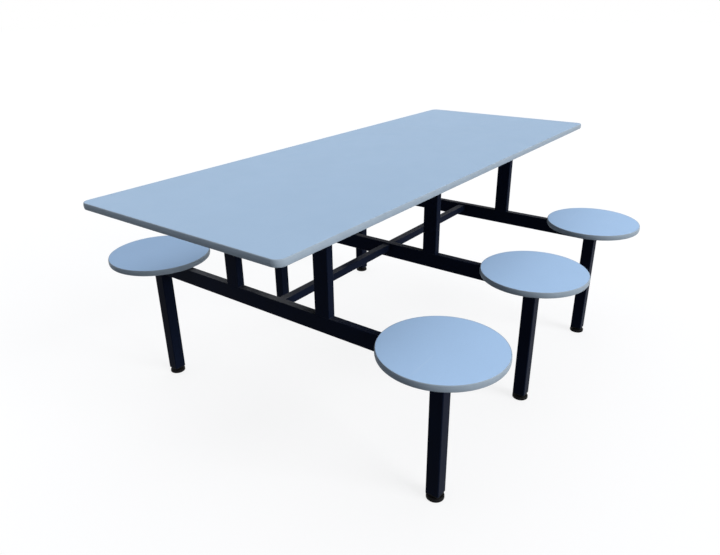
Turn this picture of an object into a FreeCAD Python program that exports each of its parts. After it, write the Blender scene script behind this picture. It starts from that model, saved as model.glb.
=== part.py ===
import FreeCAD, Part
import math
import os

os.makedirs("parts", exist_ok=True)

# Canteen table with six attached swivel seats, in millimetres.
# The origin is on the floor under the middle of the tabletop, X along its length, Z up.
# Rows front, middle and rear run along X, and left is the +Y side.

# Tabletop
table_length = 1800.0
table_width = 700.0
table_height = 750.0
corner_radius = 25.0

# Faced board and edge band, shared by the tabletop and the seats
board_thickness = 18.0
board_rim_round = 0.6
edge_thickness = 2.5
edge_round = 2.0
spine_thickness = 2.0
spine_depth = 9.0

# Seats
seat_diameter = 325.0
seat_height = 460.0
row_spacing = 562.0
seat_offset = 536.0

# Frame tubes
tube_wall = 1.5
leg_side = 40.0
leg_inner_round = 2.0
beam_width = 25.0
beam_depth = 50.0
beam_inner_round = 1.0
post_depth = 50.0
post_offset = 174.0
rail_side = 25.0
rail_inner_round = 1.0
rail_drop = 5.0

# Bearers under the tabletop
bearer_width = 40.0
bearer_thickness = 4.0
bearer_length = 560.0
bearer_end_margin = 25.0
bearer_inner_hole_share = 0.6

# Wood screws
screw_diameter = 4.2
screw_bite = 12.0
screw_point = 3.0
pan_head_diameter = 8.4
pan_head_height = 3.0
pan_head_round = 1.6
sunk_head_diameter = 8.2
sunk_head_height = 2.2

# Swivel under each seat
plate_diameter = 140.0
plate_thickness = 3.0
plate_screw_margin = 17.0
plate_screw_count = 4
plate_screw_turn_share = 0.5
spindle_diameter = 20.0
spindle_end_gap = 6.0
spindle_chamfer = 1.5
bush_flange = 2.0
bush_length = 50.0
insert_corner_ease = 0.4

# Retaining screw through the leg into the spindle's groove
retainer_drop_share = 0.5
retainer_diameter = 6.0
retainer_head_diameter = 11.0
retainer_head_height = 3.6
retainer_head_round = 1.8
groove_depth = 2.5
groove_side_play = 0.6
retainer_tip_play = 0.4

# Levelling feet
pad_diameter = 50.0
pad_height = 11.5
pad_round = 3.5
pad_floor = 4.0
stud_diameter = 8.0
stud_reach = 38.0
stud_point = 1.0
button_diameter = 13.0
button_height = 3.0
hex_sides = 6
hex_across_flats = 13.0
hex_height = 4.7
foot_play = 0.3
plug_flange = 2.2
plug_length = 30.0

# Fits
running_clearance = 0.05
fit_clearance = 0.1
thrust_clearance = 0.1
cut_overrun = 1.0
height_match = 0.01

# Heights that follow from the sizes above
board_bottom = table_height - board_thickness
bearer_bottom = board_bottom - bearer_thickness
seat_bottom = seat_height - board_thickness
plate_bottom = seat_bottom - plate_thickness
leg_top = plate_bottom - thrust_clearance - bush_flange
beam_top = leg_top
rail_top = beam_top - rail_drop
retainer_height = leg_top - retainer_drop_share * bush_length
hex_bottom = pad_height + foot_play
hex_top = hex_bottom + hex_height
plug_bottom = hex_top + foot_play
leg_bottom = plug_bottom + plug_flange

rows = {"front": -row_spacing, "middle": 0.0, "rear": row_spacing}
sides = {"left": 1, "right": -1}

UP = FreeCAD.Vector(0, 0, 1)
CENTRE = FreeCAD.Vector(0, 0, 0)
X_AXIS = FreeCAD.Vector(1, 0, 0)


def at(x, y, z):
    """A point of the part's frame."""
    return FreeCAD.Vector(x, y, z)


def save(node, shapes):
    """Writes one node, whose solids stay separate."""
    solids = [solid for shape in shapes for solid in shape.Solids]
    shape = solids[0] if len(solids) == 1 else Part.makeCompound(solids)
    shape.exportStep(f"parts/{node}.step")


def rounded_rectangle(width, depth, radius):
    """A flat face in the XY plane, centred on the origin, with rounded corners."""
    half_x = width / 2 - radius
    half_y = depth / 2 - radius
    corners = [(half_x, half_y), (-half_x, half_y), (-half_x, -half_y), (half_x, -half_y)]
    quarter_turn = math.pi / 2
    edges = []
    previous = at(half_x + radius, -half_y, 0)
    for corner, (x, y) in enumerate(corners):
        points = []
        for half_step in range(3):
            angle = (corner + half_step / 2) * quarter_turn
            points.append(at(x + radius * math.cos(angle), y + radius * math.sin(angle), 0))
        edges.append(Part.LineSegment(previous, points[0]).toShape())
        edges.append(Part.Arc(*points).toShape())
        previous = points[2]
    return Part.Face(Part.Wire(edges))


def raised(face, bottom, height):
    """A face of the XY plane as a solid between two heights."""
    return face.translated(at(0, 0, bottom)).extrude(at(0, 0, height))


def turned(profile):
    """A solid of revolution about Z from points of radius and height."""
    points = [at(radius, 0, height) for radius, height in profile]
    face = Part.Face(Part.makePolygon(points + points[:1]))
    return face.revolve(CENTRE, UP, 360)


def tube(width, depth, inner_round, length):
    """A tube along Z from the XY plane, with rounded corners inside and out."""
    outside = rounded_rectangle(width, depth, inner_round + tube_wall)
    inside = rounded_rectangle(width - 2 * tube_wall, depth - 2 * tube_wall, inner_round)
    return outside.cut(inside).Faces[0].extrude(at(0, 0, length))


def drill(radius, start, direction, depth):
    """A round cutter from a point, started one overrun outside the surface."""
    return Part.makeCylinder(radius, depth + cut_overrun, start - direction * cut_overrun, direction)


# Faced board with its edge band


def table_outline(inset):
    """The tabletop's outline, moved inwards by an inset."""
    return rounded_rectangle(table_length - 2 * inset, table_width - 2 * inset, corner_radius - inset)


def seat_outline(inset):
    """A seat's outline, moved inwards by an inset."""
    return Part.Face(Part.Wire(Part.makeCircle(seat_diameter / 2 - inset)))


def rims(shape, heights):
    """The outer edges of a flat board at the given heights."""
    found = []
    for edge in shape.Edges:
        level = edge.BoundBox.ZLength < height_match
        if level and any(abs(edge.CenterOfMass.z - z) < height_match for z in heights):
            found.append(edge)
    return found


def board(outline, bottom):
    """A board with eased faces and a groove round its edge for the band's spine."""
    top = bottom + board_thickness
    body = raised(outline(edge_thickness + fit_clearance), bottom, board_thickness)
    body = body.makeFillet(board_rim_round, rims(body, (bottom, top)))
    groove_height = spine_thickness + 2 * fit_clearance
    groove_bottom = bottom + (board_thickness - groove_height) / 2
    groove = raised(outline(0), groove_bottom, groove_height)
    core = raised(outline(edge_thickness + spine_depth + fit_clearance), groove_bottom, groove_height)
    return body.cut(groove.cut(core))


def edge_band(outline, bottom):
    """A band with rounded edges and a spine that sits in the board's groove."""
    top = bottom + board_thickness
    face = raised(outline(0), bottom, board_thickness)
    face = face.makeFillet(edge_round, rims(face, (bottom, top)))
    face = face.cut(raised(outline(edge_thickness), bottom - cut_overrun, board_thickness + 2 * cut_overrun))
    spine_bottom = bottom + (board_thickness - spine_thickness) / 2
    spine = raised(outline(edge_thickness / 2), spine_bottom, spine_thickness)
    spine = spine.cut(raised(outline(edge_thickness + spine_depth), spine_bottom, spine_thickness))
    return face.fuse(spine).removeSplitter()


# Fasteners


def pan_screw(diameter, length, point, head_diameter, head_height, head_round):
    """A screw along +Z with its domed head under the XY plane."""
    radius = diameter / 2
    head = head_diameter / 2
    return turned([(0, -head_height), (head - head_round, -head_height), (head, head_round - head_height),
                   (head, 0), (radius, 0), (radius, length - point), (0, length)])


def sunk_screw():
    """A countersunk wood screw along +Z with its flat head in the XY plane."""
    radius = screw_diameter / 2
    head = sunk_head_diameter / 2
    length = plate_thickness + screw_bite
    return turned([(0, 0), (head, 0), (radius, sunk_head_height),
                   (radius, length - screw_point), (0, length)])


def pilot(start):
    """The hole that a wood screw makes in a board, upwards from its underside."""
    return drill(screw_diameter / 2 + fit_clearance, start, UP, screw_bite + fit_clearance)


# Tabletop and its bearers

outer_hole = bearer_length / 2 - bearer_end_margin
inner_hole = bearer_inner_hole_share * (post_offset - post_depth / 2)
bearer_holes = (-outer_hole, -inner_hole, inner_hole, outer_hole)
bearer_screw_length = bearer_thickness + screw_bite

panel = board(table_outline, board_bottom)
bearers = []
bearer_screws = []
for x in rows.values():
    bearer = Part.makeBox(bearer_width, bearer_length, bearer_thickness,
                          at(x - bearer_width / 2, -bearer_length / 2, bearer_bottom))
    for y in bearer_holes:
        panel = panel.cut(pilot(at(x, y, board_bottom)))
        hole_radius = screw_diameter / 2 + fit_clearance
        bearer = bearer.cut(drill(hole_radius, at(x, y, bearer_bottom), UP, bearer_thickness + cut_overrun))
        screw = pan_screw(screw_diameter, bearer_screw_length, screw_point,
                          pan_head_diameter, pan_head_height, pan_head_round)
        bearer_screws.append(screw.translated(at(x, y, bearer_bottom)))
    bearers.append(bearer)
save("tabletop_panel", [panel])
save("tabletop_edge_band", [edge_band(table_outline, board_bottom)])
save("top_bearers", bearers)
save("bearer_screws", bearer_screws)

# Posts, cross beams and centre rails

beam_length = 2 * seat_offset - leg_side
beam = tube(beam_depth, beam_width, beam_inner_round, beam_length)
beam.rotate(CENTRE, FreeCAD.Vector(1, 1, 1), 240)
for row, x in rows.items():
    save(f"cross_beam_{row}", [beam.translated(at(x, -beam_length / 2, beam_top - beam_depth / 2))])
    for side, sign in sides.items():
        post = tube(beam_width, post_depth, beam_inner_round, bearer_bottom - beam_top)
        save(f"post_{row}_{side}", [post.translated(at(x, sign * post_offset, beam_top))])

rail_length = row_spacing - beam_width
rail = tube(rail_side, rail_side, rail_inner_round, rail_length)
rail.rotate(CENTRE, FreeCAD.Vector(0, 1, 0), 90)
rail_height = rail_top - rail_side / 2
save("centre_rail_front", [rail.translated(at(-row_spacing + beam_width / 2, 0, rail_height))])
save("centre_rail_rear", [rail.translated(at(beam_width / 2, 0, rail_height))])

# Seat legs with the swivel bush in the top and the foot's plug in the bottom

insert_side = leg_side - 2 * tube_wall - 2 * fit_clearance


def insert_flange(bottom, thickness):
    """The flange of a leg insert, as large as the leg's end."""
    return raised(rounded_rectangle(leg_side, leg_side, leg_inner_round + tube_wall), bottom, thickness)


def insert_body(bottom, length):
    """The part of a leg insert that fills the tube."""
    corner_round = leg_inner_round + insert_corner_ease
    return raised(rounded_rectangle(insert_side, insert_side, corner_round), bottom, length)


def seat_leg(side_sign):
    """A leg on the Z axis, with a hole for the retaining screw in its outer wall."""
    leg = tube(leg_side, leg_side, leg_inner_round, leg_top - leg_bottom).translated(at(0, 0, leg_bottom))
    inwards = at(0, -side_sign, 0)
    outer_wall = at(0, side_sign * leg_side / 2, retainer_height)
    return leg.cut(drill(retainer_diameter / 2 + fit_clearance, outer_wall, inwards, tube_wall + cut_overrun))


def swivel_bush(side_sign):
    """A moulded bush in the leg's top, whose flange carries the seat's plate."""
    body = insert_body(leg_top - bush_length, bush_length)
    bush = insert_flange(leg_top, bush_flange).fuse(body).removeSplitter()
    bore = drill(spindle_diameter / 2 + running_clearance, at(0, 0, leg_top - bush_length), UP,
                 bush_length + bush_flange + cut_overrun)
    outer_wall = at(0, side_sign * leg_side / 2, retainer_height)
    cross_hole = drill(retainer_diameter / 2 + fit_clearance, outer_wall, at(0, -side_sign, 0), leg_side / 2)
    return bush.cut(bore).cut(cross_hole)


def retainer(side_sign):
    """The screw through the leg's outer wall, whose tip runs in the spindle's groove."""
    tip_radius = spindle_diameter / 2 - groove_depth + retainer_tip_play
    screw = pan_screw(retainer_diameter, leg_side / 2 - tip_radius, 0, retainer_head_diameter,
                      retainer_head_height, retainer_head_round)
    screw.rotate(CENTRE, X_AXIS, 90 * side_sign)
    return screw.translated(at(0, side_sign * leg_side / 2, retainer_height))


def leg_plug():
    """A plug in the leg's lower end, bored for the foot's stud."""
    body = insert_body(leg_bottom, plug_length)
    plug = insert_flange(plug_bottom, plug_flange).fuse(body).removeSplitter()
    depth = plug_flange + plug_length + cut_overrun
    return plug.cut(drill(stud_diameter / 2 + running_clearance, at(0, 0, plug_bottom), UP, depth))


# Seats and their spindles


def plate_screw_points(height):
    """The places of a plate's screws, on a circle about the swivel axis."""
    radius = plate_diameter / 2 - plate_screw_margin
    points = []
    for index in range(plate_screw_count):
        angle = 2 * math.pi * (index + plate_screw_turn_share) / plate_screw_count
        points.append(at(radius * math.cos(angle), radius * math.sin(angle), height))
    return points


def seat_spindle():
    """The seat's plate with the grooved spindle welded under it."""
    radius = spindle_diameter / 2
    foot = leg_top - bush_length + spindle_end_gap
    groove_half = retainer_diameter / 2 + groove_side_play
    groove_radius = radius - groove_depth
    spindle = turned([(0, foot), (radius - spindle_chamfer, foot), (radius, foot + spindle_chamfer),
                      (radius, retainer_height - groove_half), (groove_radius, retainer_height - groove_half),
                      (groove_radius, retainer_height + groove_half), (radius, retainer_height + groove_half),
                      (radius, plate_bottom), (plate_diameter / 2, plate_bottom),
                      (plate_diameter / 2, seat_bottom), (0, seat_bottom)])
    sunk = turned([(0, -cut_overrun), (sunk_head_diameter / 2 + fit_clearance, -cut_overrun),
                   (sunk_head_diameter / 2 + fit_clearance, 0),
                   (screw_diameter / 2 + fit_clearance, sunk_head_height),
                   (screw_diameter / 2 + fit_clearance, plate_thickness + cut_overrun),
                   (0, plate_thickness + cut_overrun)])
    for point in plate_screw_points(plate_bottom):
        spindle = spindle.cut(sunk.translated(point))
    return spindle


def seat_panel():
    """A seat's board with the holes that its screws make."""
    panel = board(seat_outline, seat_bottom)
    for point in plate_screw_points(seat_bottom):
        panel = panel.cut(pilot(point))
    return panel


# Levelling feet


def foot_pad():
    """A round pad with a stepped socket that holds the stud's button."""
    radius = pad_diameter / 2
    neck = stud_diameter / 2 + running_clearance
    socket = button_diameter / 2 + foot_play
    socket_top = pad_floor + button_height + 2 * foot_play
    return turned([(0, 0), (radius, 0), (radius, pad_height - pad_round), (radius - pad_round, pad_height),
                   (neck, pad_height), (neck, socket_top), (socket, socket_top), (socket, pad_floor),
                   (0, pad_floor)])


def foot_stud():
    """A threaded stud with a button below, a hexagon to turn it by and a chamfered end."""
    radius = stud_diameter / 2
    button = button_diameter / 2
    button_bottom = pad_floor + foot_play
    stud_top = hex_top + stud_reach
    shaft = turned([(0, button_bottom), (button, button_bottom), (button, button_bottom + button_height),
                    (radius, button_bottom + button_height), (radius, stud_top - stud_point),
                    (radius - stud_point, stud_top), (0, stud_top)])
    corner = hex_across_flats / 2 / math.cos(math.pi / hex_sides)
    points = []
    for index in range(hex_sides + 1):
        angle = 2 * math.pi * index / hex_sides
        points.append(at(corner * math.cos(angle), corner * math.sin(angle), 0))
    hexagon = raised(Part.Face(Part.makePolygon(points)), hex_bottom, hex_height)
    return shaft.fuse(hexagon).removeSplitter()


bushes = []
retainers = []
plugs = []
for row, x in rows.items():
    for side, sign in sides.items():
        place = at(x, sign * seat_offset, 0)
        name = f"{row}_{side}"
        save(f"seat_leg_{name}", [seat_leg(sign).translated(place)])
        bushes.append(swivel_bush(sign).translated(place))
        retainers.append(retainer(sign).translated(place))
        plugs.append(leg_plug().translated(place))
        save(f"seat_panel_{name}", [seat_panel().translated(place)])
        save(f"seat_edge_band_{name}", [edge_band(seat_outline, seat_bottom).translated(place)])
        save(f"seat_spindle_{name}", [seat_spindle().translated(place)])
        screw_points = plate_screw_points(plate_bottom)
        save(f"seat_screws_{name}", [sunk_screw().translated(place + point) for point in screw_points])
        save(f"foot_pad_{name}", [foot_pad().translated(place)])
        save(f"foot_stud_{name}", [foot_stud().translated(place)])
save("swivel_bushes", bushes)
save("spindle_retainers", retainers)
save("leg_plugs", plugs)
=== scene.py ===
import math

import bmesh
import bpy
from bpy.props import FloatProperty, FloatVectorProperty, IntProperty, PointerProperty
from mathutils import Matrix, Quaternion, Vector


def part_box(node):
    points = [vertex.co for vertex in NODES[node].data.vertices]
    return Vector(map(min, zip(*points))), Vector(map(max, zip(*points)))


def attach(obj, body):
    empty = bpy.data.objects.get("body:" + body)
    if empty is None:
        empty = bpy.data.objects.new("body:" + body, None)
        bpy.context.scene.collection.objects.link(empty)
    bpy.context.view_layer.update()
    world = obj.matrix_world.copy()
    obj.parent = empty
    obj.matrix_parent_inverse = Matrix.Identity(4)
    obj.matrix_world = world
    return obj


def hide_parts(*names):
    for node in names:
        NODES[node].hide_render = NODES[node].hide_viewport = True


bl_info = {
    "name": "Canteen table with swivel seats",
    "version": (1, 0, 0),
    "blender": (4, 5, 0),
    "location": "3D View > Sidebar > Canteen table",
    "description": "Finishes, edge bands, welds, fasteners and feet for a table with six swivel seats",
    "category": "Object",
}

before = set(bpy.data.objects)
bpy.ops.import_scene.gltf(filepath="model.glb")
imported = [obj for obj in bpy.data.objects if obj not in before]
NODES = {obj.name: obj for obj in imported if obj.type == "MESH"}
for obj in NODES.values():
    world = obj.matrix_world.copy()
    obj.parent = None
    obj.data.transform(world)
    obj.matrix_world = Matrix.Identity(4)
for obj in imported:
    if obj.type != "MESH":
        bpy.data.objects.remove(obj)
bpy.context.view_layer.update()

ROWS = ("front", "middle", "rear")
SIDES = ("left", "right")
SEATS = [f"{row}_{side}" for row in ROWS for side in SIDES]
RAILS = ["centre_rail_front", "centre_rail_rear"]
FULL_TURN = 2 * math.pi

# Facets round a shape
HEAD_FACETS = 36
SCREW_FACETS = 28
STUD_FACETS = 36
BEVEL_FACETS = 72
BEAD_FACETS = 10
FLUTE_FACETS = 8

# Steps along an arc, a wall, a ripple or one turn of a thread
SHOULDER_STEPS = 10
BOW_STEPS = 8
TUBE_STEPS = 3
DOME_STEPS = 6
PAD_STEPS = 8
WALL_STEPS = 4
RIPPLE_STEPS = 6.0
SCREW_STEPS = 8
STUD_STEPS = 10

# Where the barbs start along the band's spine and how long one is, as shares of the spine's depth
BARB_STARTS = (0.35, 0.60, 0.85)
BARB_LENGTH = 0.12

# Scales that draw a pattern out into streaks
SCUFF_STREAKS = (5.0, 90.0, 5.0)
BAND_STREAKS = (6.0, 6.0, 1500.0)
ZINC_STREAKS = (40.0, 900.0, 40.0)

# Tints between which the zinc goes
ZINC_COOL = (0.92, 0.97, 1.06)
ZINC_WARM = (1.06, 1.01, 0.90)

# Roughness of the moulded plastic in the swivels and in the feet
BUSH_ROUGHNESS = 0.42
FOOT_ROUGHNESS = 0.50

# Where the dust and painted sheen on the frame thin out behind the front beam, and where they set in from
# the right; both fall-offs are painted shade
SHEEN_ENDS_X = (-0.55, -0.48)
SHEEN_STARTS_Y = (-0.34, -0.12)


# Settings that a user would change


def length(name, description, default):
    """A size in metres."""
    return FloatProperty(name=name, description=description, default=default, precision=5, unit="LENGTH")


def factor(name, description, default):
    """A plain number from 0 to 1."""
    return FloatProperty(name=name, description=description, default=default, min=0, max=1, subtype="FACTOR")


def angle(name, description, degrees):
    """A turn, given in degrees and kept in radians."""
    return FloatProperty(name=name, description=description, default=math.radians(degrees), unit="ROTATION")


def whole(name, description, default):
    """A whole number from 1."""
    return IntProperty(name=name, description=description, default=default, min=1)


def colour(name, description, default):
    """A linear colour."""
    return FloatVectorProperty(name=name, description=description, default=default, min=0, max=1,
                               subtype="COLOR")


def place(name, description, default):
    """A point in metres or a direction, in the shared frame."""
    return FloatVectorProperty(name=name, description=description, default=default, subtype="XYZ")


class FinishSettings(bpy.types.PropertyGroup):
    """Colours and grain of the table's finishes."""

    table_blue: colour("Tabletop", "Laminate on the tabletop", (0.352, 0.478, 0.634))
    seat_blue: colour("Seats", "Laminate on the seats", (0.403, 0.578, 0.822))
    laminate_scuff: colour("Laminate scuffs", "Faint streaks on the laminate", (0.85, 0.88, 0.92))
    backing: colour("Backing", "Balancing sheet under the boards", (0.46, 0.47, 0.48))
    band_grey: colour("Edge band", "Moulded band round the boards", (0.330, 0.396, 0.462))
    band_rub: colour("Band rubs", "Rubbed patches of the band", (0.20, 0.21, 0.23))
    paint_black: colour("Frame paint", "Powder coat on the tubes", (0.0048, 0.0078, 0.0190))
    paint_wear: colour("Worn paint", "Edges where the paint is thin", (0.07, 0.072, 0.08))
    # Colour of the dust, which also stands in for a painted sheen on paint that faces up
    dust_and_sheen: colour("Dust", "Dust on the paint where it faces up", (0.165, 0.167, 0.175))
    zinc: colour("Zinc", "Plated plates, studs and screws", (0.60, 0.61, 0.63))
    plastic_black: colour("Black plastic", "Moulded pads, plugs and bushes", (0.0065, 0.0065, 0.0072))
    plastic_scuff: colour("Plastic scuffs", "Scuffs on the moulded plastic", (0.035, 0.035, 0.037))
    cloud_size: length("Cloud size", "Slow change of shade over a board", 0.16)
    fleck_size: length("Fleck size", "Grain of the laminate's print", 0.0012)
    fleck_depth: length("Fleck depth", "Depth of the laminate's grain", 0.000012)
    line_depth: length("Line depth", "Depth of the lines along the band", 0.00002)
    peel_size: length("Peel size", "Ripples of the powder coat", 0.0022)
    peel_depth: length("Peel depth", "Depth of the powder coat's ripples", 0.00003)
    edge_wear: length("Edge wear", "Width of the worn edges of the paint", 0.0022)
    drawing_depth: length("Drawing depth", "Depth of the zinc's drawing lines", 0.000008)
    grain_size: length("Grain size", "Grain of the moulded plastic", 0.0006)
    grain_depth: length("Grain depth", "Depth of the moulded plastic's grain", 0.00002)


class BandSettings(bpy.types.PropertyGroup):
    """Sizes of the edge band."""

    thickness: length("Thickness", "Thickness of the band outside the board", 0.0025)
    shoulder_height: length("Shoulder height", "How far down the band's rounded edges reach", 0.0052)
    shoulder_depth: length("Shoulder depth", "How far in the band's rounded edges reach", 0.0021)
    crown: length("Crown", "How far the band's face bows out", 0.00035)
    spine_thickness: length("Spine", "Thickness of the spine in the board's groove", 0.0014)
    spine_depth: length("Spine depth", "How far the spine reaches into the groove", 0.0085)
    barb: length("Barb", "Height of the barbs that grip the groove", 0.0003)
    seam: length("Seam", "Gap where the band's two ends meet", 0.0003)
    table_corner: length("Tabletop corner", "Radius of the tabletop's corners", 0.025)
    corner_steps: whole("Corner steps", "Facets in each corner", 20)
    seat_steps: whole("Seat steps", "Facets round each seat", 192)


class WeldSettings(bpy.types.PropertyGroup):
    """Sizes of the weld beads between the tubes."""

    bead_radius: length("Bead radius", "Radius of a fillet weld's bead", 0.0024)
    seam_proud: length("Seam height", "How far a flush seam stands out of the tubes", 0.0005)
    ripple_pitch: length("Ripple pitch", "Distance between two ripples of a bead", 0.0030)
    ripple_depth: factor("Ripple depth", "Share of the bead's radius lost between ripples", 0.20)
    end_taper: length("End taper", "Length over which an open bead runs out", 0.0040)
    end_share: factor("End share", "Share of the bead's radius left at an open end", 0.15)
    top_margin: length("Top margin", "Height left free of weld under the seat's plate", 0.0030)
    tube_corner: length("Tube corner", "Outer corner radius of the beams, posts and rails", 0.0025)


class FastenerSettings(bpy.types.PropertyGroup):
    """Sizes of the screws."""

    pan_height: length("Pan head", "Height of a pan head", 0.0030)
    pan_round: length("Pan round", "Radius of a pan head's shoulder", 0.0020)
    wood_core: length("Wood thread core", "Core radius of a wood screw's thread", 0.00150)
    wood_crest: length("Wood thread crest", "Crest radius of a wood screw's thread", 0.00210)
    wood_pitch: length("Wood thread pitch", "Pitch of a wood screw's thread", 0.00180)
    wood_point: length("Wood screw point", "Length of a wood screw's point", 0.0030)
    sunk_height: length("Sunk head", "Depth of a countersunk head", 0.0022)
    cross_width: length("Cross width", "Width of a wing of the cross recess", 0.00085)
    cross_span: length("Cross span", "Span of the cross recess", 0.0044)
    cross_depth: length("Cross depth", "Depth of the cross recess", 0.0016)
    button_height: length("Button head", "Height of a retaining screw's head", 0.0036)
    button_round: length("Button round", "Radius of a retaining screw's shoulder", 0.0026)
    socket_width: length("Socket width", "Width across the flats of the hexagon socket", 0.0040)
    socket_depth: length("Socket depth", "Depth of the hexagon socket", 0.0022)
    retainer_radius: length("Retainer radius", "Radius of a retaining screw's shank", 0.0030)
    turn_seed: whole("Turn seed", "Seed for how far each screw is turned", 7)


class FootSettings(bpy.types.PropertyGroup):
    """Sizes of the levelling feet."""

    flute_count: whole("Flutes", "Grip flutes round a pad", 24)
    flute_depth: length("Flute depth", "Depth of a pad's grip flutes", 0.0007)
    base_chamfer: length("Base chamfer", "Chamfer at the foot of a pad", 0.0010)
    shoulder_round: length("Shoulder round", "Radius of a pad's shoulder", 0.0042)
    step_radius: length("Step radius", "Radius of the raised ring on a pad", 0.0140)
    step_height: length("Step height", "Height of the raised ring on a pad", 0.0012)
    neck_radius: length("Neck radius", "Radius of a pad's hole for the stud", 0.00405)
    stud_crest: length("Stud crest", "Crest radius of the stud's thread", 0.0040)
    stud_core: length("Stud core", "Core radius of the stud's thread", 0.0034)
    stud_pitch: length("Stud pitch", "Pitch of the stud's thread", 0.00125)
    hex_flats: length("Hexagon", "Width across the flats of the stud's hexagon", 0.0130)
    hex_bottom: length("Hexagon bottom", "Height of the hexagon's lower face", 0.0118)
    hex_height: length("Hexagon height", "Thickness of the hexagon", 0.0047)
    hex_chamfer: length("Hexagon chamfer", "Chamfer on the hexagon's corners", 0.0008)
    button_radius: length("Button radius", "Radius of the button held in the pad", 0.0065)
    button_height: length("Button height", "Height of the button held in the pad", 0.0030)


class StageSettings(bpy.types.PropertyGroup):
    """Camera, floor and lamps."""

    camera_place: place("Camera", "Where the camera stands", (-1.68265, -1.13375, 1.20331))
    camera_azimuth: angle("Azimuth", "Turn of the view about the vertical", -53.178)
    camera_elevation: angle("Elevation", "Height of the view above the horizon", 24.031)
    camera_roll: angle("Roll", "Tilt of the picture", 0.746)
    camera_lens: FloatProperty(name="Lens", description="Focal length", default=30.576, unit="CAMERA")
    camera_sensor: FloatProperty(name="Sensor", description="Sensor's width", default=36.0, unit="CAMERA")
    floor_half: length("Floor", "Half the side of the floor", 40.0)
    floor_colour: colour("Floor colour", "Pale floor", (0.20, 0.20, 0.205))
    floor_glow: factor("Floor glow", "What brings the floor to white in the picture", 0.81)
    ambient: factor("Ambient", "Strength of the light from all round", 0.08)
    ambient_colour: colour("Ambient colour", "Cool tint of the light from all round", (0.375, 0.625, 1.0))
    top_strength: factor("Top light", "Light from above, where 1 shows a colour as written", 0.655)
    top_from: place("Top light direction", "Where the top light comes from", (0.30, 0.35, 1.0))
    top_spread: angle("Top light spread", "Apparent size of the top light", 110.0)
    side_strength: factor("Side light", "Light from the right on a surface that faces it", 0.88)
    side_from: place("Side light direction", "Where the side light comes from", (0.06, -0.90, 0.42))
    side_spread: angle("Side light spread", "Apparent size of the side light", 36.0)


# Node trees


def connect(node, inputs):
    """Gives a node's inputs their values, or links them to other nodes' outputs."""
    for key, value in inputs.items():
        if isinstance(value, bpy.types.NodeSocket):
            node.id_data.links.new(value, node.inputs[key])
        else:
            node.inputs[key].default_value = value


def add_node(tree, kind, inputs=None, **settings):
    """The outputs of a new node with the given settings and inputs."""
    node = tree.nodes.new(kind)
    for key, value in settings.items():
        setattr(node, key, value)
    connect(node, inputs or {})
    return node.outputs


def calculate(operation, *numbers):
    """The result of one sum, whose numbers are values or outputs, with at least one output among them."""
    tree = next(number.id_data for number in numbers if isinstance(number, bpy.types.NodeSocket))
    return add_node(tree, "ShaderNodeMath", dict(enumerate(numbers)), operation=operation)[0]


def product(result, *numbers):
    """An output multiplied by several numbers."""
    for number in numbers:
        result = calculate("MULTIPLY", result, number)
    return result


def vector_sum(operation, inputs):
    """The outputs of one sum on vectors, of which the first is an output."""
    return add_node(inputs[0].id_data, "ShaderNodeVectorMath", inputs, operation=operation)


def separate(vector):
    """The three parts of a vector."""
    return add_node(vector.id_data, "ShaderNodeSeparateXYZ", {0: vector})


def remap(value, low, high, to_low, to_high):
    """A number moved from one range to another and kept inside it."""
    inputs = {"Value": value, "From Min": low, "From Max": high, "To Min": to_low, "To Max": to_high}
    return add_node(value.id_data, "ShaderNodeMapRange", inputs)[0]


def blend(share, first, second):
    """A mix of two colours, which are the mix node's inputs 6 and 7 and its output 2."""
    inputs = {"Factor": share, 6: first, 7: second}
    return add_node(share.id_data, "ShaderNodeMix", inputs, data_type="RGBA")[2]


def rgba(linear, gain=1.0):
    """A colour property as a socket's value, made lighter or darker by a gain."""
    return (*[min(1.0, channel * gain) for channel in linear], 1.0)


def shades(share, base, dark, light):
    """A colour that goes from a darker to a lighter shade of its base."""
    return blend(share, rgba(base, dark), rgba(base, light))


def noise(position, size, detail):
    """Fractal noise whose largest features have the given size."""
    inputs = {"Vector": position, "Scale": 1 / size, "Detail": detail}
    return add_node(position.id_data, "ShaderNodeTexNoise", inputs)[0]


def streaks(position, scale, detail):
    """Noise that is drawn out along the axes with the smaller scales."""
    drawn = add_node(position.id_data, "ShaderNodeMapping", {"Vector": position, "Scale": scale})[0]
    return noise(drawn, 1.0, detail)


def spread(field, least, most):
    """Noise moved to a range from the one where most of it lies."""
    return remap(field, 0.3, 0.7, least, most)


def rising(field, start, full, most):
    """0 where a field is below its start, and up to the most where it is full."""
    return remap(field, start, full, 0.0, most)


def layered(field, share, other):
    """Two fields of noise added up, with the first one's share of the sum."""
    return calculate("MULTIPLY_ADD", field, share, spread(other, 0.0, 1 - share))


def bump(height, depth):
    """A bump of the given depth from a height between 0 and 1."""
    inputs = {"Height": height, "Strength": 1.0, "Distance": depth}
    return add_node(height.id_data, "ShaderNodeBump", inputs)[0]


# Finishes


def new_material(name, surface_of, *details):
    """A material whose surface takes the inputs that a function makes from the texture coordinates."""
    material = bpy.data.materials.new(name)
    material.use_nodes = True
    tree = material.node_tree
    coordinates = add_node(tree, "ShaderNodeTexCoord")
    connect(tree.nodes["Principled BSDF"], surface_of(coordinates, *details))
    return material


def facing_up(coordinates):
    """How far the surface faces up, from -1 to 1, in the piece's own frame."""
    return separate(coordinates["Normal"])[2]


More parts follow.
